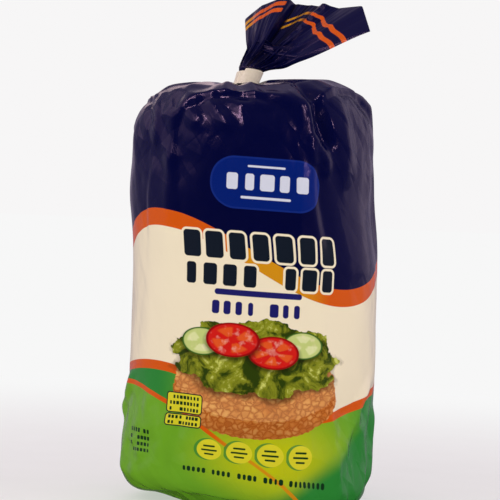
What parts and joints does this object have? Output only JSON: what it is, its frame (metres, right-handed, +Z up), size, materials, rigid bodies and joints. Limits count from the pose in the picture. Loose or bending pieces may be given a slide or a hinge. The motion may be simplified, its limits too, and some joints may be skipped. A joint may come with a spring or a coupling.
{
  "type": "tied bag of puffed rice cakes",
  "caption": "Round printed film bag filled by a stack of puffed rice cakes, standing upright, its neck gathered in a flat tie with the film fanned out above.",
  "frame": {"origin": "centre of the bounding box, at the flat bottom that the pack stands on", "axes": "+Z up along the pack, -Y out of the printed front, +X to the right as seen from the front"},
  "size_m": [0.1036, 0.1012, 0.2087],
  "materials": {
    "printed_film": "gloss",
    "cream_tie": "matte"
  },
  "bodies": {
    "root": {"bag": "printed_film", "tie": "cream_tie"}
  },
  "joints": []
}
